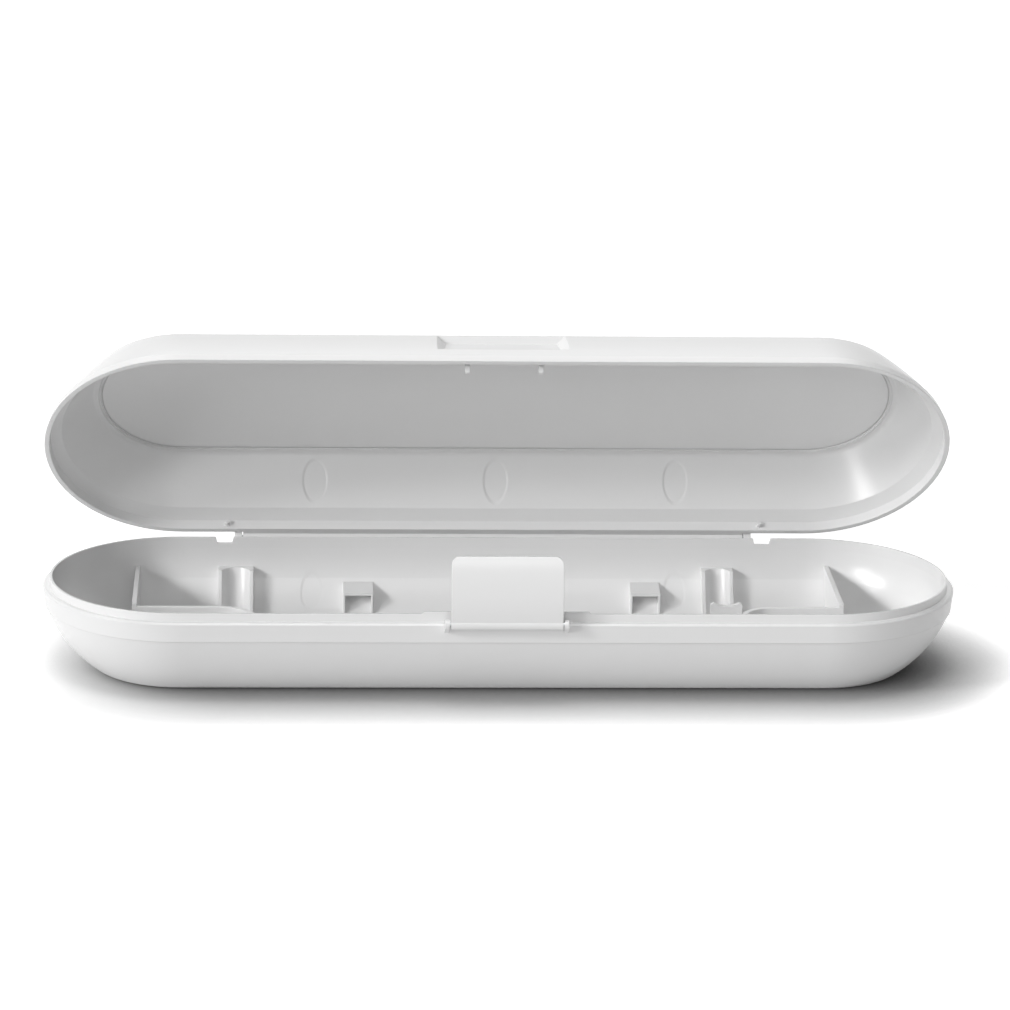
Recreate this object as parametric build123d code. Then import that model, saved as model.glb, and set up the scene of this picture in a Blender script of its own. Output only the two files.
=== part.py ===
from build123d import *
from math import asin, cos, degrees, radians, sin, sqrt
import os

# Travel case for an electric toothbrush: two moulded half shells joined by a long
# rear hinge, a swinging latch flap at the front and moulded fittings inside the base.
# Origin: centre of the flat underside.  +X to the right, -Y to the front, +Z up.
# The solids are written with the lid held open and the latch flap leaning back.

# ---- Driving dimensions, mm and degrees ----
case_length = 216.0
case_width = 64.4
half_width = case_width / 2
half_straight = (case_length - case_width) / 2

# Base shell
ledge_height = 19.9          # height of the seat that the closed lid rests on
base_wall = 1.8
base_band = 4.7              # near-vertical band under the ledge
base_band_inset = 0.45
band_step = 0.2
base_draft = 19.5            # wall slope from vertical, just under the band
base_blend = 27.7            # wall slope where the blend up to the lip's inner face starts
base_sweep = 30.8            # radius of the bowl-shaped wall
base_heel = 4.0              # radius where the wall meets the flat underside
edge_round = 0.4
lip_height = 1.9             # raised lip that the lid fits over
lip_outer = 1.5
lip_inner = 2.25
lip_draft = 0.2
lip_raise = 0.5              # taller stretch of lip behind the latch
lip_raise_half = 20.0
lip_raise_ramp = 1.0
web_root = 1.0               # how far webs and ribs are rooted in a wall

# Lid shell, heights counted from its rim
rim_gap = 0.1
lid_depth = 17.2
lid_wall = 1.8
lid_band = 2.3
lid_band_inset = 0.6
lid_draft = 29.8
lid_sweep = 150.0
lid_corner = 3.0
rebate_outer = 1.15          # thickness of the rim outside the rebate
rebate_height = 2.5
rebate_draft = 0.15
shoulder_top = 4.4           # where the rebate's sloping shoulder meets the inner wall
roof_step = 0.45
roof_step_inset = 1.0

# Hinge along the rear
lid_open = 55.0
hinge_y = 34.8
hinge_z = 20.2
knuckle_radius = 2.0
lid_knuckle_half = 61.1
ear_start = 61.4
ear_end = 63.2
ear_web = 4.3                # height of the web under each ear
hinge_pin_radius = 0.8
hinge_pin_length = 12.0
pin_end_gap = 1.0            # left in the bore beyond the pin
running_gap = 0.05
lip_notch_start = 63.5
lip_notch_end = 67.6
lip_notch_depth = 1.45
lip_notch_flare = 0.25

# Latch at the front
latch_y = -33.72
latch_z = 20.3
latch_half_width = 12.9
latch_barrel = 1.2
latch_height = 15.9          # from the pivot to the flap's top edge
latch_plate = 1.3
latch_bulge = 1.6
latch_set_in = 0.19          # how far the plate's middle stands in front of the pivot
latch_corner = 1.9
latch_lean = 9.0             # as drawn, leaning back from upright
latch_closed_lean = 37.0
latch_pin_radius = 0.6
lug_gap = 0.3
lug_width = 1.1
lug_web = 2.2                # height of the web under each lug
bead_radius = 0.45
bead_height = 14.1
bead_inset = 3.0             # from the flap's side edge to the bead's end
bead_gap = 0.3

# Finger recess in the lid's front wall
recess_depth = 1.5
recess_floor_half = 13.3
recess_mouth_half = 15.5
recess_low = 6.2
recess_low_depth = 1.0
recess_above = 1.0           # the cut runs on past the outer surface
recess_back = -22.8
pad_half = 17.2
pad_depth = 3.4
pad_low = 2.7
rib_place = 8.6              # two ribs hang from the pad and stay behind the base's lip
rib_thick = 1.1
rib_front = -29.5
rib_back = -27.6
rib_drop = 0.2               # below the lid's rim
rib_lead = 1.0               # lead-in slope that guides the rib past the lip
rib_top = 4.5
peg_place = 65.0             # pegs on the lid that drop into the lip notches
peg_radius = 0.6
peg_height = 1.4             # above the lid's rim
peg_reach = 1.0
peg_root = 0.3

# Fittings in the base
fitting_top = 15.2
fence_top = 14.2
fitting_wall = 1.1
fence_y = -1.45
left_plate_x = -86.5
right_plate_x = 81.5
left_turn_x = -67.0
right_turn_x = 64.7
left_turn_radius = 9.5
right_turn_radius = 7.2
cradle_radius = 11.0
cradle_y = -15.0
cradle_z = 22.5
left_guide_width = 8.5
right_guide_width = 7.7
guide_reach = 3.0
guide_edge = 0.9
guide_top = 14.6
groove_depth = 2.3
left_guide_x = -62.8
right_guide_x = 54.5
saddle_x = 54.1
saddle_width = 7.7
saddle_y = 0.0
saddle_dip = 0.8
saddle_shoulder = 0.8        # flat between the dip and the bevelled corner
saddle_bevel = 0.5
rest_width = 7.3
left_rest_x = -33.15
right_rest_x = 36.8
rest_top = 11.2
rest_brow = 9.9
rest_front = 22.5
rest_roof = 0.6
rest_cheek = 0.5


def arc_points(centre, radius, start, end):
    """Start, middle and end of a circular arc, with angles in degrees."""
    middle = (start + end) / 2
    return [(centre[0] + radius * cos(radians(a)), centre[1] + radius * sin(radians(a)))
            for a in (start, middle, end)]


def racetrack(section):
    """Carry a section (distance from the mid-plane, height) round the case's outline."""
    side = Plane.YZ * section
    straight = extrude(side, half_straight, both=True)
    straight += mirror(straight, Plane.XZ)
    pivot = (-half_straight, 0, 0)
    left_end = revolve(Pos(*pivot) * side, Axis(pivot, (0, 0, 1)), 180)
    return straight + left_end + mirror(left_end, Plane.YZ)


def outline_face(edges):
    return make_face(Curve() + edges)


def slab(profile_points, x_low, x_high):
    """Extrude a polygon of (y, z) points between two x positions."""
    face = make_face(Polyline(*profile_points, close=True))
    return extrude(Plane.YZ.offset(x_low) * face, x_high - x_low)


def rod(y, z, radius, x_low, x_high):
    return extrude(Plane.YZ.offset(x_low) * Pos(y, z) * Circle(radius), x_high - x_low)


# ---- Base ----
base_wall_start = (half_width - base_band_inset - band_step, ledge_height - base_band)
base_centre = (base_wall_start[0] - base_sweep * cos(radians(base_draft)),
               base_wall_start[1] + base_sweep * sin(radians(base_draft)))
base_end_draft = degrees(asin((base_centre[1] - base_heel) / (base_sweep - base_heel)))
heel_x = base_centre[0] + (base_sweep - base_heel) * cos(radians(base_end_draft))
lip_top = ledge_height + lip_height


def bowl_line(offset, start):
    """The bowl's wall and heel, set in by offset: arcs from the start angle to the floor."""
    wall = arc_points(base_centre, base_sweep - offset, -start, -base_end_draft)
    heel = arc_points((heel_x, base_heel), base_heel - offset, -base_end_draft, -90)
    return [ThreePointArc(*wall), ThreePointArc(*heel)], wall[0], heel[2]


def base_cavity():
    """The space inside the base wall; an arc blends the bowl into the upright lip."""
    arcs, top, bottom = bowl_line(base_wall, base_blend)
    edge = half_width - lip_inner
    turn = radians(base_blend)
    radius = (edge - top[0]) / (1 - cos(turn))
    centre = (edge - radius, top[1] + radius * sin(turn))
    blend = arc_points(centre, radius, 0, -base_blend)
    inner = Polyline(blend[0], (edge, lip_top + lip_raise), (0, lip_top + lip_raise),
                     (0, base_wall), bottom)
    return racetrack(outline_face(arcs + [ThreePointArc(*blend), inner]))


def base_outside():
    """The base's outer form with its ledge and the solid lip."""
    arcs, top, bottom = bowl_line(0, base_draft)
    ledge = Polyline(top, (half_width - base_band_inset, top[1]),
                     (half_width, ledge_height - edge_round),
                     (half_width - edge_round, ledge_height),
                     (half_width - lip_outer, ledge_height),
                     (half_width - lip_outer - lip_draft, lip_top),
                     (0, lip_top), (0, 0), bottom)
    return racetrack(outline_face(arcs + [ledge]))


def base_shell(cavity):
    shell = base_outside() - cavity
    shell += raised_lip()
    for side in (-1, 1):
        shell += hinge_ear(side)
        shell += latch_lug(side)
        shell -= lip_notch(side)
    return shell


def raised_lip():
    """The front stretch of the lip stands a little taller, with sloping ends."""
    front = -(half_width - lip_outer - lip_draft)
    back = -(half_width - lip_inner)
    low = lip_top - lip_raise
    top = lip_top + lip_raise
    flat = lip_raise_half - lip_raise_ramp
    outline = Polyline((-lip_raise_half, low), (-flat, top), (flat, top),
                       (lip_raise_half, low), close=True)
    return extrude(Plane.XZ.offset(-back) * make_face(outline), back - front)


def lip_notch(side):
    """Gap in the rear lip beside each hinge ear, where the pin is pressed in."""
    low = lip_top - lip_notch_depth
    above = lip_top + lip_raise
    outline = Polyline((side * (lip_notch_start + lip_notch_flare), low),
                       (side * (lip_notch_end - lip_notch_flare), low),
                       (side * (lip_notch_end + lip_notch_flare), above),
                       (side * (lip_notch_start - lip_notch_flare), above), close=True)
    return extrude(Plane.XZ.offset(-half_width) * make_face(outline), 2 * lip_inner)


def hinge_ear(side):
    """Ring that holds a hinge pin, carried on a sloping web from the base's rear wall."""
    low, high = sorted((side * ear_start, side * ear_end))
    wall_y = half_width - web_root
    below = knuckle_radius * sin(radians(45))
    top = ledge_height - edge_round
    web = [(wall_y, top), (hinge_y, top), (hinge_y + below, hinge_z - below),
           (wall_y, top - ear_web)]
    ear = rod(hinge_y, hinge_z, knuckle_radius, low, high) + slab(web, low, high)
    return ear - rod(hinge_y, hinge_z, hinge_pin_radius, low, high)


def latch_lug(side):
    """Small ring beside the latch barrel, on a web from the base's front wall."""
    low, high = sorted((side * (latch_half_width + lug_gap),
                        side * (latch_half_width + lug_gap + lug_width)))
    wall_y = -(half_width - web_root)
    below = latch_barrel * sin(radians(45))
    top = ledge_height - edge_round
    web = [(wall_y, top), (latch_y, top), (latch_y - below, latch_z - below),
           (wall_y, top - lug_web)]
    lug = rod(latch_y, latch_z, latch_barrel, low, high) + slab(web, low, high)
    return lug - rod(latch_y, latch_z, latch_pin_radius, low, high)


# ---- Lid, drawn closed and then swung open ----
lid_rim_z = ledge_height + rim_gap
lid_start = (half_width - lid_band_inset, lid_band)
lid_centre = (lid_start[0] - lid_sweep * cos(radians(lid_draft)),
              lid_start[1] - lid_sweep * sin(radians(lid_draft)))
lid_end_draft = degrees(asin((lid_depth - lid_corner - lid_centre[1]) / (lid_sweep - lid_corner)))
corner_centre = (lid_centre[0] + (lid_sweep - lid_corner) * cos(radians(lid_end_draft)),
                 lid_depth - lid_corner)


def lid_wall_at(offset, height):
    """Distance from the mid-plane and slope of the lid's wall, set in by offset."""
    angle = asin((height - lid_centre[1]) / (lid_sweep - offset))
    return lid_centre[0] + (lid_sweep - offset) * cos(angle), degrees(angle)


def lid_wall_arc(offset, low, high_angle):
    start_angle = lid_wall_at(offset, low)[1]
    return arc_points(lid_centre, lid_sweep - offset, start_angle, high_angle)


def lid_outside():
    wall = lid_wall_arc(0, lid_band, lid_end_draft)
    corner = arc_points(corner_centre, lid_corner, lid_end_draft, 90)
    rest = Polyline(corner[2], (0, lid_depth), (0, 0), (half_width, 0), wall[0])
    return Pos(0, 0, lid_rim_z) * racetrack(
        outline_face([ThreePointArc(*wall), ThreePointArc(*corner), rest]))


def lid_cavity():
    """Hollow of the lid: rim rebate, its shoulder, the sloping wall and the roof panel."""
    wall = lid_wall_arc(lid_wall, shoulder_top, lid_end_draft)
    corner = arc_points(corner_centre, lid_corner - lid_wall, lid_end_draft, 90)
    ceiling = lid_depth - lid_wall
    panel_edge = corner[2][0] - roof_step_inset
    low = Polyline((0, ceiling + roof_step), (0, 0), (half_width - rebate_outer, 0),
                   (half_width - rebate_outer - rebate_draft, rebate_height), wall[0])
    high = Polyline(corner[2], (panel_edge, ceiling), (panel_edge, ceiling + roof_step),
                    (0, ceiling + roof_step))
    return Pos(0, 0, lid_rim_z) * racetrack(
        outline_face([low, ThreePointArc(*wall), ThreePointArc(*corner), high]))


def lid_front_point(offset, height):
    """A (y, z) point on the closed lid's front wall, set in by offset."""
    return -lid_wall_at(offset, height)[0], lid_rim_z + height


def recess_pad():
    """Extra thickness inside the front wall, behind the finger recess."""
    roof = lid_rim_z + lid_depth - 0.5 * lid_wall
    front = [lid_front_point(0.5 * lid_wall, h) for h in (pad_low, lid_depth - lid_corner)]
    back = [lid_front_point(pad_depth, h) for h in (lid_depth - lid_wall, pad_low)]
    return slab([front[0], front[1], (back[0][0], roof), back[0], back[1]], -pad_half, pad_half)


def finger_recess():
    """Sunk bay that takes the closed flap: flared sides, sloping floor, upright end wall."""
    foot = lid_rim_z + recess_low
    floor_low = lid_front_point(recess_low_depth, recess_low)
    across = -recess_back - lid_centre[0]
    rise = sqrt((lid_sweep - recess_depth) ** 2 - across ** 2)
    floor_high = (recess_back, lid_rim_z + lid_centre[1] + rise)
    above = lid_rim_z + lid_depth + recess_above
    bay = slab([(-half_width, foot), floor_low, floor_high, (recess_back, above),
                (-half_width, above)], -recess_mouth_half, recess_mouth_half)
    return bay - recess_flank(1) - recess_flank(-1)


def recess_flank(side):
    """Sloping side of the bay, which narrows it from the mouth to the floor."""
    lean = lid_wall_at(0, lid_depth / 2)[1]
    across = Plane(origin=(0, *lid_front_point(0, lid_depth / 2)), x_dir=(1, 0, 0),
                   z_dir=(0, sin(radians(lean)), cos(radians(lean))))
    wide = side * (recess_mouth_half + recess_above)
    deep = 2 * recess_depth
    wedge = Polyline((side * recess_mouth_half, 0), (wide, 0), (wide, deep),
                     (side * recess_floor_half, deep), (side * recess_floor_half, recess_depth),
                     close=True)
    return extrude(across * make_face(wedge), half_width, both=True)


def lid_shell():
    outside = lid_outside()
    shell = outside - lid_cavity()
    shell += recess_pad() & outside
    shell -= finger_recess()
    shell += lid_knuckle()
    for side in (-1, 1):
        shell += locating_rib(side)
        shell += notch_peg(side)
    return shell - bead_groove()


def lid_knuckle():
    """Long hinge knuckle and the web that joins it to the lid's rear wall."""
    ends = (-lid_knuckle_half, lid_knuckle_half)
    wall_y = half_width - web_root
    top = hinge_z + knuckle_radius
    web = [(wall_y, lid_rim_z), (hinge_y, lid_rim_z), (hinge_y, top), (wall_y, top)]
    knuckle = rod(hinge_y, hinge_z, knuckle_radius, *ends) + slab(web, *ends)
    bore = hinge_pin_radius + running_gap
    depth = hinge_pin_length - (ear_end - lid_knuckle_half) + pin_end_gap
    for side in (-1, 1):
        low, high = sorted((side * lid_knuckle_half, side * (lid_knuckle_half - depth)))
        knuckle -= rod(hinge_y, hinge_z, bore, low, high)
    return knuckle


def locating_rib(side):
    """Rib that hangs from the pad behind the base's lip, with a lead-in slope at its foot."""
    low = side * rib_place - rib_thick / 2
    foot = lid_rim_z - rib_drop
    top = lid_rim_z + rib_top
    points = [(rib_front, foot + rib_lead), (rib_front + rib_lead, foot), (rib_back, foot),
              (rib_back, top), (rib_front, top)]
    return slab(points, low, low + rib_thick)


def notch_peg(side):
    """Small round peg on the rebate's rear wall, which sits in a lip notch when closed."""
    root = half_width - rebate_outer + peg_root
    flat = Plane.XZ.offset(-root) * Pos(side * peg_place, lid_rim_z + peg_height)
    return extrude(flat * Circle(peg_radius), peg_reach + peg_root)


def swung_open(shape):
    return Pos(0, hinge_y, hinge_z) * Rot(-lid_open, 0, 0) * Pos(0, -hinge_y, -hinge_z) * shape


# ---- Hinge pins and latch ----
def hinge_pin(side):
    low, high = sorted((side * (ear_end - hinge_pin_length), side * ear_end))
    return rod(hinge_y, hinge_z, hinge_pin_radius, low, high)


def latch_centre(height):
    """Distance of the plate's middle line in front of the pivot, at a height above it."""
    half = latch_height / 2
    return latch_set_in + latch_bulge * (1 - ((height - half) / half) ** 2)


def latch_flap():
    """Curved flap with a barrel at its foot and a snap bead inside its top edge."""
    half = latch_height / 2
    out = latch_plate / 2
    outer = ThreePointArc(*[(latch_y - latch_centre(h) - out, latch_z + h)
                            for h in (0, half, latch_height)])
    inner = ThreePointArc(*[(latch_y - latch_centre(h) + out, latch_z + h)
                            for h in (latch_height, half, 0)])
    top = Line(outer @ 1, inner @ 0)
    foot = Line(inner @ 1, outer @ 0)
    section = make_face(Curve() + [outer, top, inner, foot])
    plate = extrude(Plane.YZ.offset(-latch_half_width) * section, 2 * latch_half_width)
    upper_corners = plate.edges().filter_by(Axis.Y, tolerance=20).group_by(Axis.Z)[-1]
    plate = fillet(upper_corners, latch_corner)
    ends = (-latch_half_width, latch_half_width)
    flap = plate + rod(latch_y, latch_z, latch_barrel, *ends)
    bead_reach = latch_half_width - bead_inset
    flap += rod(bead_y(), latch_z + bead_height, bead_radius, -bead_reach, bead_reach)
    return flap - rod(latch_y, latch_z, latch_pin_radius + running_gap, *ends)


def leaned_back(shape):
    return Pos(0, latch_y, latch_z) * Rot(-latch_lean, 0, 0) * Pos(0, -latch_y, -latch_z) * shape


def bead_y():
    return latch_y - latch_centre(bead_height) + latch_plate / 2


def bead_groove():
    """Groove in the recess floor, where the bead sits when lid and flap are both closed."""
    lean = radians(latch_closed_lean)
    ahead = bead_y() - latch_y
    y = latch_y + ahead * cos(lean) + bead_height * sin(lean)
    z = latch_z - ahead * sin(lean) + bead_height * cos(lean)
    reach = latch_half_width - bead_inset + bead_gap
    return rod(y, z, bead_radius + bead_gap, -reach, reach)


def latch_pin():
    reach = latch_half_width + lug_gap + lug_width
    return rod(latch_y, latch_z, latch_pin_radius, -reach, reach)


# ---- Fittings that stand in the base ----
def fence(side, plate_x, turn_x, radius):
    """Cross plate, long fence, and its quarter turn into a dished leg across the base."""
    half = fitting_wall / 2
    centre = (turn_x, fence_y - radius)
    leg_x = turn_x - side * radius
    bend = (90, 90 + side * 90)
    outer = arc_points(centre, radius + half, *bend)
    inner = arc_points(centre, radius - half, *bend)
    edges = [Polyline((plate_x, fence_y - half), (plate_x, fence_y + half), outer[0]),
             ThreePointArc(*outer),
             Polyline(outer[2], (leg_x - side * half, -half_width),
                      (leg_x + side * half, -half_width), inner[2]),
             ThreePointArc(*inner),
             Line(inner[0], (plate_x, fence_y - half))]
    wall = extrude(outline_face(edges), fence_top)
    wall -= rod(cradle_y, cradle_z, cradle_radius, leg_x - radius, leg_x + radius)
    depth = half_width - fence_y + half
    plate = Pos(plate_x, half_width - depth / 2, fitting_top / 2) * Box(
        fitting_wall, depth, fitting_top)
    return wall + plate


def bowl_wall_y(offset, height):
    """How far back the bowl's rear wall stands at a height, set in by offset."""
    rise = base_centre[1] - height
    return base_centre[0] + sqrt((base_sweep - offset) ** 2 - rise ** 2)


def head_guide(middle_x, width):
    """Rib with a half-round groove, its cross-section swung down the bowl's rear wall."""
    outer = base_sweep - base_wall / 2
    inner = base_sweep - base_wall - guide_reach
    half = width / 2
    edge = half - guide_edge
    sides = Polyline((edge, inner), (half, inner), (half, outer), (-half, outer),
                     (-half, inner), (-edge, inner))
    groove = ThreePointArc((-edge, inner), (0, inner + groove_depth), (edge, inner))
    section = Plane((middle_x, *base_centre)) * outline_face([sides, groove])
    rib = revolve(section, Axis((0, *base_centre), (1, 0, 0)), -90)
    return rib & Pos(middle_x, 0, guide_top / 2) * Box(width, case_width, guide_top)


def neck_saddle():
    """Low upright plate in front of the right guide, with a dished top edge."""
    half = saddle_width / 2
    flat = half - saddle_shoulder
    corner = fitting_top - saddle_bevel
    edge = ThreePointArc((flat, fitting_top), (0, fitting_top - saddle_dip), (-flat, fitting_top))
    sides = Polyline((-flat, fitting_top), (-half, corner), (-half, 0), (half, 0),
                     (half, corner), (flat, fitting_top))
    plate = make_face(Curve() + [edge, sides])
    return extrude(Plane.XZ.offset(-saddle_y) * Pos(saddle_x, 0) * plate, fitting_wall)


def head_rest(middle_x):
    """Hooded rest on the rear wall: sloping roof on two cheeks, open at the front."""
    low = middle_x - rest_width / 2
    high = middle_x + rest_width / 2
    hood = slab([(half_width, rest_top), (bowl_wall_y(base_wall, rest_top), rest_top),
                 (rest_front, rest_brow), (rest_front, 0), (half_width, 0)], low, high)
    ahead = rest_front - web_root
    under = slab([(half_width, rest_top - rest_roof), (rest_front, rest_brow - rest_roof),
                  (ahead, rest_brow - rest_roof), (ahead, 0), (half_width, 0)],
                 low + rest_cheek, high - rest_cheek)
    return hood - under


def build():
    cavity = base_cavity()
    nodes = {
        "base_shell": base_shell(cavity),
        "lid_shell": swung_open(lid_shell()),
        "latch_flap": leaned_back(latch_flap()),
        "latch_pin": latch_pin(),
        "left_hinge_pin": hinge_pin(-1),
        "right_hinge_pin": hinge_pin(1),
        "left_fence": fence(-1, left_plate_x, left_turn_x, left_turn_radius) & cavity,
        "right_fence": fence(1, right_plate_x, right_turn_x, right_turn_radius) & cavity,
        "left_head_guide": head_guide(left_guide_x, left_guide_width) & cavity,
        "right_head_guide": head_guide(right_guide_x, right_guide_width) & cavity,
        "neck_saddle": neck_saddle() & cavity,
        "left_head_rest": head_rest(left_rest_x) & cavity,
        "right_head_rest": head_rest(right_rest_x) & cavity,
    }
    os.makedirs("parts", exist_ok=True)
    for name, shape in nodes.items():
        export_step(shape, f"parts/{name}.step")


build()
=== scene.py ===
import math

import bpy
import numpy as np
from mathutils import Matrix, Vector

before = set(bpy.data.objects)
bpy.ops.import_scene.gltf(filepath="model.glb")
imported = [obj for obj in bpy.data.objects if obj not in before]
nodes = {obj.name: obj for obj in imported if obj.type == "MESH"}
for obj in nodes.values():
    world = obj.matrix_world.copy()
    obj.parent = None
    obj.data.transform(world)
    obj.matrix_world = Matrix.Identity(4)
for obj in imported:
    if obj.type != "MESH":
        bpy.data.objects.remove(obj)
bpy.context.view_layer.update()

mm = 0.001


def hexColour(code):
    # sRGB hex to the linear values that Blender's sockets take
    parts = [int(code[i:i + 2], 16) / 255 for i in (1, 3, 5)]
    linear = [p / 12.92 if p <= 0.04045 else ((p + 0.055) / 1.055) ** 2.4 for p in parts]
    return (*linear, 1.0)


def addNode(tree, kind, settings=None, inputs=None, links=None):
    # settings are node properties, inputs are socket values, links join sockets to sockets
    node = tree.nodes.new(kind)
    for key, value in (settings or {}).items():
        setattr(node, key, value)
    for key, value in (inputs or {}).items():
        node.inputs[key].default_value = value
    for key, source in (links or {}).items():
        tree.links.new(source, node.inputs[key])
    return node


def combine(tree, operation, *values):
    # one Math node; each value is a number or another node's socket
    node = addNode(tree, "ShaderNodeMath", {"operation": operation})
    for socket, value in zip(node.inputs, values):
        if isinstance(value, (int, float)):
            socket.default_value = value
        else:
            tree.links.new(value, socket)
    return node.outputs[0]


def newMaterial(name):
    material = bpy.data.materials.new(name)
    material.use_nodes = True
    material.node_tree.nodes.clear()
    return material, material.node_tree


def dress(names, material):
    for name in names:
        nodes[name].data.materials.clear()
        nodes[name].data.materials.append(material)


# White polypropylene, injection moulded in a polished tool: one even colour, a soft satin
# sheen broken by a very fine grain, and edges rounded by the tool.
shellLook = {
    "colour": "#E6E6E6",
    "roughness": 0.27,
    "ior": 1.49,
    "grainSize": 0.9,             # mm; the real grain is finer than the render shows
    "grainDetail": 3.0,           # layers of finer grain in each grain
    "grainDepth": 0.004,          # mm
    "edgeRadius": 0.28,           # mm
    "edgeSamples": 6,
}
# ABS flap, moulded in one piece and a touch glossier than the shells
flapLook = dict(shellLook, colour="#E8E8E8", roughness=0.23, ior=1.53)
# Polypropylene fittings, same batch as the shells, seen only inside the base
fittingLook = dict(shellLook, colour="#E8E8E8", roughness=0.3)

# Ejector pins stand along the mould's draw and leave shallow round flats, which stretch to
# ovals on the sloping walls. Sizes are in mm, and places are those of the closed case.
lidMarks = {
    "centres": [(-43.6, 24.65), (0.45, 24.65), (44.5, 24.65)],    # x and y
    "wall": (68.7, -1.5, -1.0),   # line z = 68.7 - 1.5 y inside the wall; cavity below it
    "radius": 2.9,
    "edge": 0.35,
    "depth": 0.18,
}
baseMarks = {
    "centres": [(-44.4, 26.2), (44.1, 26.2)],
    "wall": (-31.5, 1.5, 1.0),    # line z = -31.5 + 1.5 y inside the wall; cavity above it
    "radius": 2.6,
    "edge": 0.35,
    "depth": 0.08,
}
# Moulded line along the step of the lid's roof panel, all in mm
panelGroove = {
    "halfStraight": 75.8,         # straight half length of the case's outline
    "distance": 19.33,            # from the case's mid line
    "heights": (34.6, 36.5),      # closed z between which the inner roof lies
    "halfWidth": 0.4,
    "edge": 0.2,
    "depth": 0.3,
}
# The lid's hinge line and how far open the lid is drawn, in mm and degrees
hinge = {"y": 34.8, "z": 20.2, "open": 55.0}


def mouldPlace(tree, coords, turned):
    # x, y and z in metres in the closed case; the lid is turned back about its hinge
    if turned:
        middle = (0.0, hinge["y"] * mm, hinge["z"] * mm)
        coords = addNode(tree, "ShaderNodeVectorRotate", {"rotation_type": "X_AXIS"},
                         {"Center": middle, "Angle": math.radians(hinge["open"])},
                         {"Vector": coords}).outputs["Vector"]
    parts = addNode(tree, "ShaderNodeSeparateXYZ", links={"Vector": coords}).outputs
    return parts["X"], parts["Y"], parts["Z"]


def fadeOut(tree, distance, look, reach):
    # 1 inside the reach, falling smoothly to 0 across the edge
    edges = {"From Min": (reach - look["edge"]) * mm, "From Max": (reach + look["edge"]) * mm,
             "To Min": 1.0, "To Max": 0.0}
    return addNode(tree, "ShaderNodeMapRange", {"interpolation_type": "SMOOTHSTEP"},
                   edges, {"Value": distance}).outputs["Result"]


def lengthOf(tree, first, second):
    # square root of the sum of the two squares
    squares = [combine(tree, "MULTIPLY", side, side) for side in (first, second)]
    return combine(tree, "SQRT", combine(tree, "ADD", *squares))


def pinMarkDip(tree, place, marks):
    # depth in mm within each pin's circle in plan, on the cavity's side of the wall line
    x, y, z = place
    offset, slope, side = marks["wall"]
    above = combine(tree, "SUBTRACT", z, combine(tree, "MULTIPLY", y, slope))
    inside = combine(tree, "GREATER_THAN", combine(tree, "MULTIPLY", above, side),
                     offset * side * mm)
    dip = 0.0
    for middleX, middleY in marks["centres"]:
        far = lengthOf(tree, combine(tree, "SUBTRACT", x, middleX * mm),
                       combine(tree, "SUBTRACT", y, middleY * mm))
        dip = combine(tree, "ADD", dip, fadeOut(tree, far, marks, marks["radius"]))
    return combine(tree, "MULTIPLY", combine(tree, "MULTIPLY", dip, inside), marks["depth"])


def grooveDip(tree, place, groove):
    # depth in mm along the racetrack that keeps one distance from the case's mid line
    x, y, z = place
    past = combine(tree, "SUBTRACT", combine(tree, "ABSOLUTE", x), groove["halfStraight"] * mm)
    distance = lengthOf(tree, combine(tree, "MAXIMUM", past, 0.0), y)
    off = combine(tree, "ABSOLUTE", combine(tree, "SUBTRACT", distance, groove["distance"] * mm))
    low, high = [height * mm for height in groove["heights"]]
    inside = combine(tree, "MULTIPLY", combine(tree, "GREATER_THAN", z, low),
                     combine(tree, "LESS_THAN", z, high))
    line = combine(tree, "MULTIPLY", fadeOut(tree, off, groove, groove["halfWidth"]), inside)
    return combine(tree, "MULTIPLY", line, groove["depth"])


def mouldedPlastic(name, look, marks=None, groove=None, turned=False):
    material, tree = newMaterial(name)
    coords = addNode(tree, "ShaderNodeTexCoord").outputs["Object"]
    grain = addNode(tree, "ShaderNodeTexNoise",
                    inputs={"Scale": 1 / (look["grainSize"] * mm), "Detail": look["grainDetail"]},
                    links={"Vector": coords}).outputs["Fac"]
    rounded = addNode(tree, "ShaderNodeBevel", {"samples": look["edgeSamples"]},
                      {"Radius": look["edgeRadius"] * mm})
    bump = addNode(tree, "ShaderNodeBump", inputs={"Distance": look["grainDepth"] * mm},
                   links={"Height": grain, "Normal": rounded.outputs["Normal"]})
    if marks:
        place = mouldPlace(tree, coords, turned)
        dip = pinMarkDip(tree, place, marks)
        if groove:
            dip = combine(tree, "ADD", dip, grooveDip(tree, place, groove))
        bump = addNode(tree, "ShaderNodeBump", inputs={"Distance": mm},
                       links={"Height": combine(tree, "MULTIPLY", dip, -1.0),
                              "Normal": bump.outputs["Normal"]})
    shader = addNode(tree, "ShaderNodeBsdfPrincipled",
                     inputs={"Base Color": hexColour(look["colour"]),
                             "Roughness": look["roughness"], "IOR": look["ior"]},
                     links={"Normal": bump.outputs["Normal"]})
    addNode(tree, "ShaderNodeOutputMaterial", links={"Surface": shader.outputs["BSDF"]})
    return material


# Stainless spring wire, drawn: bright, with fine lines along its length
pinLook = {
    "colour": "#B9BBBD",
    "roughness": 0.3,
    "lineSize": 0.12,             # mm across the wire
    "lineStretch": (0.02, 1.0, 1.0),      # lines run 50 times as long along x
    "lineDepth": 0.003,           # mm
}


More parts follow.
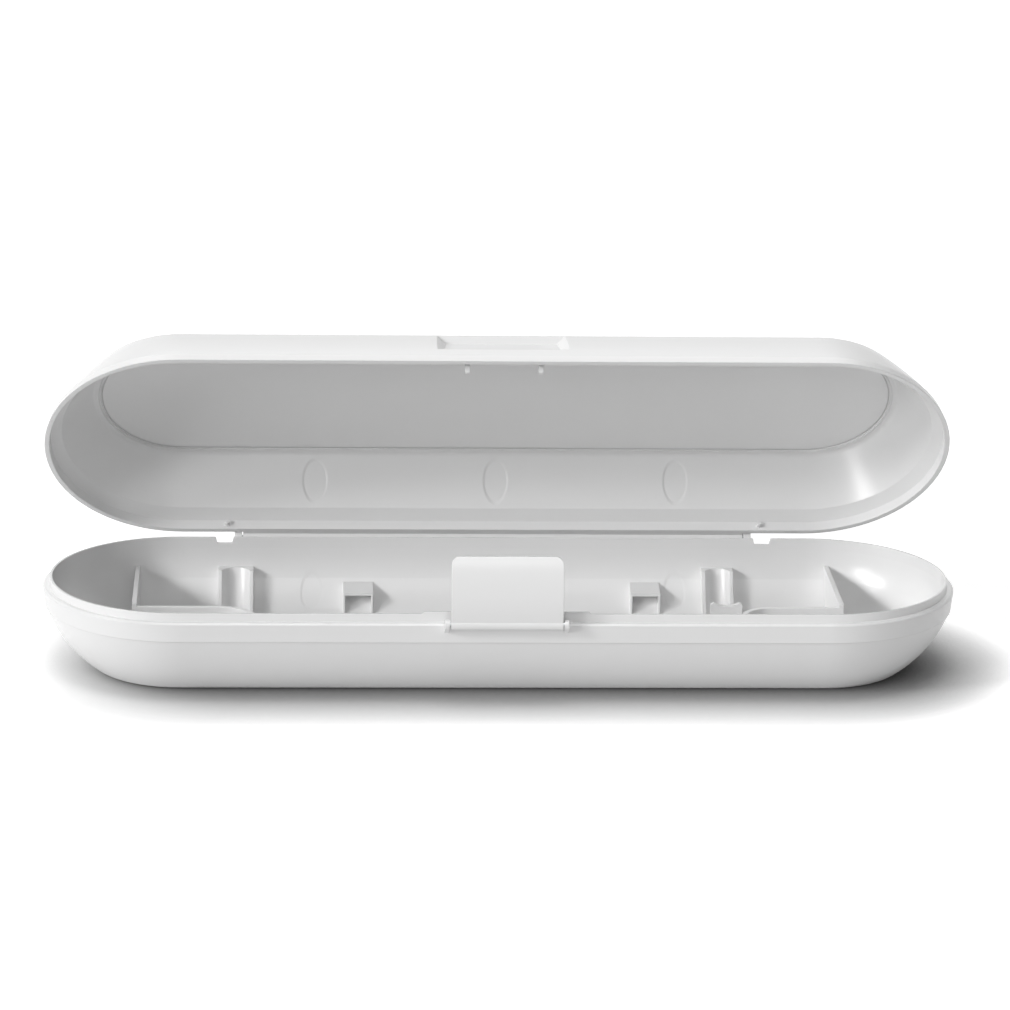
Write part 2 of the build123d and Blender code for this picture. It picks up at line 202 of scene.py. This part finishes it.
def drawnSteel(name, look):
    material, tree = newMaterial(name)
    coords = addNode(tree, "ShaderNodeTexCoord").outputs["Object"]
    stretched = addNode(tree, "ShaderNodeMapping", inputs={"Scale": look["lineStretch"]},
                        links={"Vector": coords})
    lines = addNode(tree, "ShaderNodeTexNoise", inputs={"Scale": 1 / (look["lineSize"] * mm)},
                    links={"Vector": stretched.outputs["Vector"]})
    bump = addNode(tree, "ShaderNodeBump", inputs={"Distance": look["lineDepth"] * mm},
                   links={"Height": lines.outputs["Fac"]})
    shader = addNode(tree, "ShaderNodeBsdfPrincipled",
                     inputs={"Base Color": hexColour(look["colour"]), "Metallic": 1.0,
                             "Roughness": look["roughness"]},
                     links={"Normal": bump.outputs["Normal"]})
    addNode(tree, "ShaderNodeOutputMaterial", links={"Surface": shader.outputs["BSDF"]})
    return material


basePlastic = mouldedPlastic("mouldedPolypropyleneBase", shellLook, baseMarks)
lidPlastic = mouldedPlastic("mouldedPolypropyleneLid", shellLook, lidMarks, panelGroove,
                            turned=True)
flapPlastic = mouldedPlastic("mouldedAbsFlap", flapLook)
fittingPlastic = mouldedPlastic("mouldedPolypropyleneFitting", fittingLook)
pinSteel = drawnSteel("drawnStainlessPin", pinLook)

dress(["base_shell"], basePlastic)
dress(["lid_shell"], lidPlastic)
dress(["latch_flap"], flapPlastic)
dress(["left_hinge_pin", "right_hinge_pin", "latch_pin"], pinSteel)
dress(["left_fence", "right_fence", "left_head_guide", "right_head_guide", "neck_saddle",
       "left_head_rest", "right_head_rest"], fittingPlastic)
print("materials done")


floorLook = {
    "size": 12.0,                 # m
    "rows": 3,                    # points along each side of the grid
    "colour": "#EFEFEF",
    "lift": 0.45,                 # white of the paper as seen, beside the light it receives
    "paintedShadowReach": 22.0,           # mm from the case within which the painted shadow darkens the floor and the lift dies away
    "paintedShadowPower": 1.5,
    "paintedShadowSamples": 16,
    "paintedShadowLean": (-0.6, 0.1, 0.79),       # open side of the painted shadow's lobe, towards the main light, so the painted shadow falls away from that light
}


def seenDirectly(tree):
    # 1 for rays from the camera, mirror-like reflections and clear materials, else 0
    rays = addNode(tree, "ShaderNodeLightPath").outputs
    return combine(tree, "MAXIMUM", rays["Is Camera Ray"],
                   combine(tree, "MAXIMUM", rays["Is Glossy Ray"], rays["Is Transmission Ray"]))


def gridMesh(name, points):
    # points is a (rows, columns, 3) array in metres; each grid cell becomes one quad
    rows, cols = points.shape[:2]
    i, j = np.meshgrid(np.arange(rows - 1), np.arange(cols - 1), indexing="ij")
    quads = np.stack([i * cols + j, i * cols + j + 1,
                      (i + 1) * cols + j + 1, (i + 1) * cols + j], -1)
    mesh = bpy.data.meshes.new(name)
    mesh.from_pydata(points.reshape(-1, 3).tolist(), [], quads.reshape(-1, 4).tolist())
    mesh.shade_smooth()
    piece = bpy.data.objects.new(name, mesh)
    bpy.context.scene.collection.objects.link(piece)
    return piece


def makeFloor(look):
    # flat square at z = 0; shade is the open share of the sky lobe to the power given, and near
    # the case it paints a shadow on the floor, darkening its colour and dimming its glow for
    # camera and gloss rays
    half = look["size"] / 2
    u = np.linspace(-half, half, look["rows"])
    x, y = np.meshgrid(u, u, indexing="ij")
    floor = gridMesh("studioFloor", np.stack([x, y, np.zeros_like(x)], -1))
    material, tree = newMaterial("matteStudioPaper")
    lean = addNode(tree, "ShaderNodeCombineXYZ",
                   inputs=dict(zip("XYZ", look["paintedShadowLean"]))).outputs["Vector"]
    clear = addNode(tree, "ShaderNodeAmbientOcclusion", {"samples": look["paintedShadowSamples"]},
                    {"Distance": look["paintedShadowReach"] * mm}, {"Normal": lean}).outputs["AO"]
    shade = combine(tree, "POWER", clear, look["paintedShadowPower"])
    seen = seenDirectly(tree)
    strength = combine(tree, "MULTIPLY", combine(tree, "MULTIPLY", shade, seen), look["lift"])
    glow = addNode(tree, "ShaderNodeEmission", links={"Strength": strength})
    # Painted shadow: near the case the floor's colour is mixed towards black, more on the side
    # away from the main light
    paintedShadowShare = combine(tree, "MULTIPLY", combine(tree, "SUBTRACT", 1.0, shade), seen)
    # The Mix node's colour sockets: 0 is the share of 7 in place of 6, and output 2 the result; 7
    # is the black of the painted shadow
    paintedShadowColour = addNode(tree, "ShaderNodeMix", {"data_type": "RGBA"},
                       {7: hexColour("#000000"), 6: hexColour(look["colour"])}, {0: paintedShadowShare})
    diffuse = addNode(tree, "ShaderNodeBsdfDiffuse", links={"Color": paintedShadowColour.outputs[2]})
    both = addNode(tree, "ShaderNodeAddShader",
                   links={0: diffuse.outputs[0], 1: glow.outputs[0]})
    addNode(tree, "ShaderNodeOutputMaterial", links={"Surface": both.outputs[0]})
    floor.data.materials.append(material)


lightLook = {
    "skyStrength": 0.135,
    "backdrop": 1.0,              # white of the surroundings, seen directly and in gloss
    "lamps": [
        # name, direction towards the lamp, strength, and angle in degrees for soft edges
        ("keyLight", (-0.733, -0.615, 0.292), 0.87, 14.0),
        ("sideKey", (-0.828, -0.369, 0.423), 1.3, 10.0),
        ("rearLight", (0.0, 0.707, 0.707), 0.68, 40.0),
        ("overhead", (0.0, -0.174, 0.985), 0.85, 20.0),
        ("topFront", (0.0, -0.743, 0.669), 0.28, 20.0),
    ],
}


def makeLights(look):
    world = bpy.data.worlds.new("softStudio")
    world.use_nodes = True
    tree = world.node_tree
    tree.nodes.clear()
    extra = combine(tree, "MULTIPLY", seenDirectly(tree), look["backdrop"] - look["skyStrength"])
    sky = addNode(tree, "ShaderNodeBackground", inputs={"Color": hexColour("#FFFFFF")},
                  links={"Strength": combine(tree, "ADD", extra, look["skyStrength"])})
    addNode(tree, "ShaderNodeOutputWorld", links={"Surface": sky.outputs[0]})
    bpy.context.scene.world = world
    for name, direction, strength, angle in look["lamps"]:
        data = bpy.data.lights.new(name, "SUN")
        data.energy = strength
        data.angle = math.radians(angle)
        lamp = bpy.data.objects.new(name, data)
        lamp.rotation_euler = Vector(direction).to_track_quat("Z", "Y").to_euler()
        bpy.context.scene.collection.objects.link(lamp)


cameraLook = {
    "place": (-53.1, -970.1, 325.2),      # mm
    "lookAt": (0.0, 0.0, 22.0),           # mm
    "roll": 1.082,                        # degrees
    "lens": 152.96,                       # mm
    "sensor": 36.0,                       # mm
    "shift": (0.0048, 0.0682),            # shares of the sensor's width
    "nearest": 0.05,                      # m
}


def makeCamera(look):
    data = bpy.data.cameras.new("studioCamera")
    data.lens = look["lens"]
    data.sensor_width = look["sensor"]
    data.shift_x, data.shift_y = look["shift"]
    data.clip_start = look["nearest"]
    camera = bpy.data.objects.new("studioCamera", data)
    place = Vector(look["place"]) * mm
    away = place - Vector(look["lookAt"]) * mm
    roll = Matrix.Rotation(math.radians(look["roll"]), 3, "Z")
    turn = away.to_track_quat("Z", "Y").to_matrix() @ roll
    camera.matrix_world = Matrix.Translation(place) @ turn.to_4x4()
    bpy.context.scene.collection.objects.link(camera)
    bpy.context.scene.camera = camera


makeFloor(floorLook)
makeLights(lightLook)
makeCamera(cameraLook)
bpy.context.scene.view_settings.view_transform = "Standard"
print("stage done")

print("scene done")
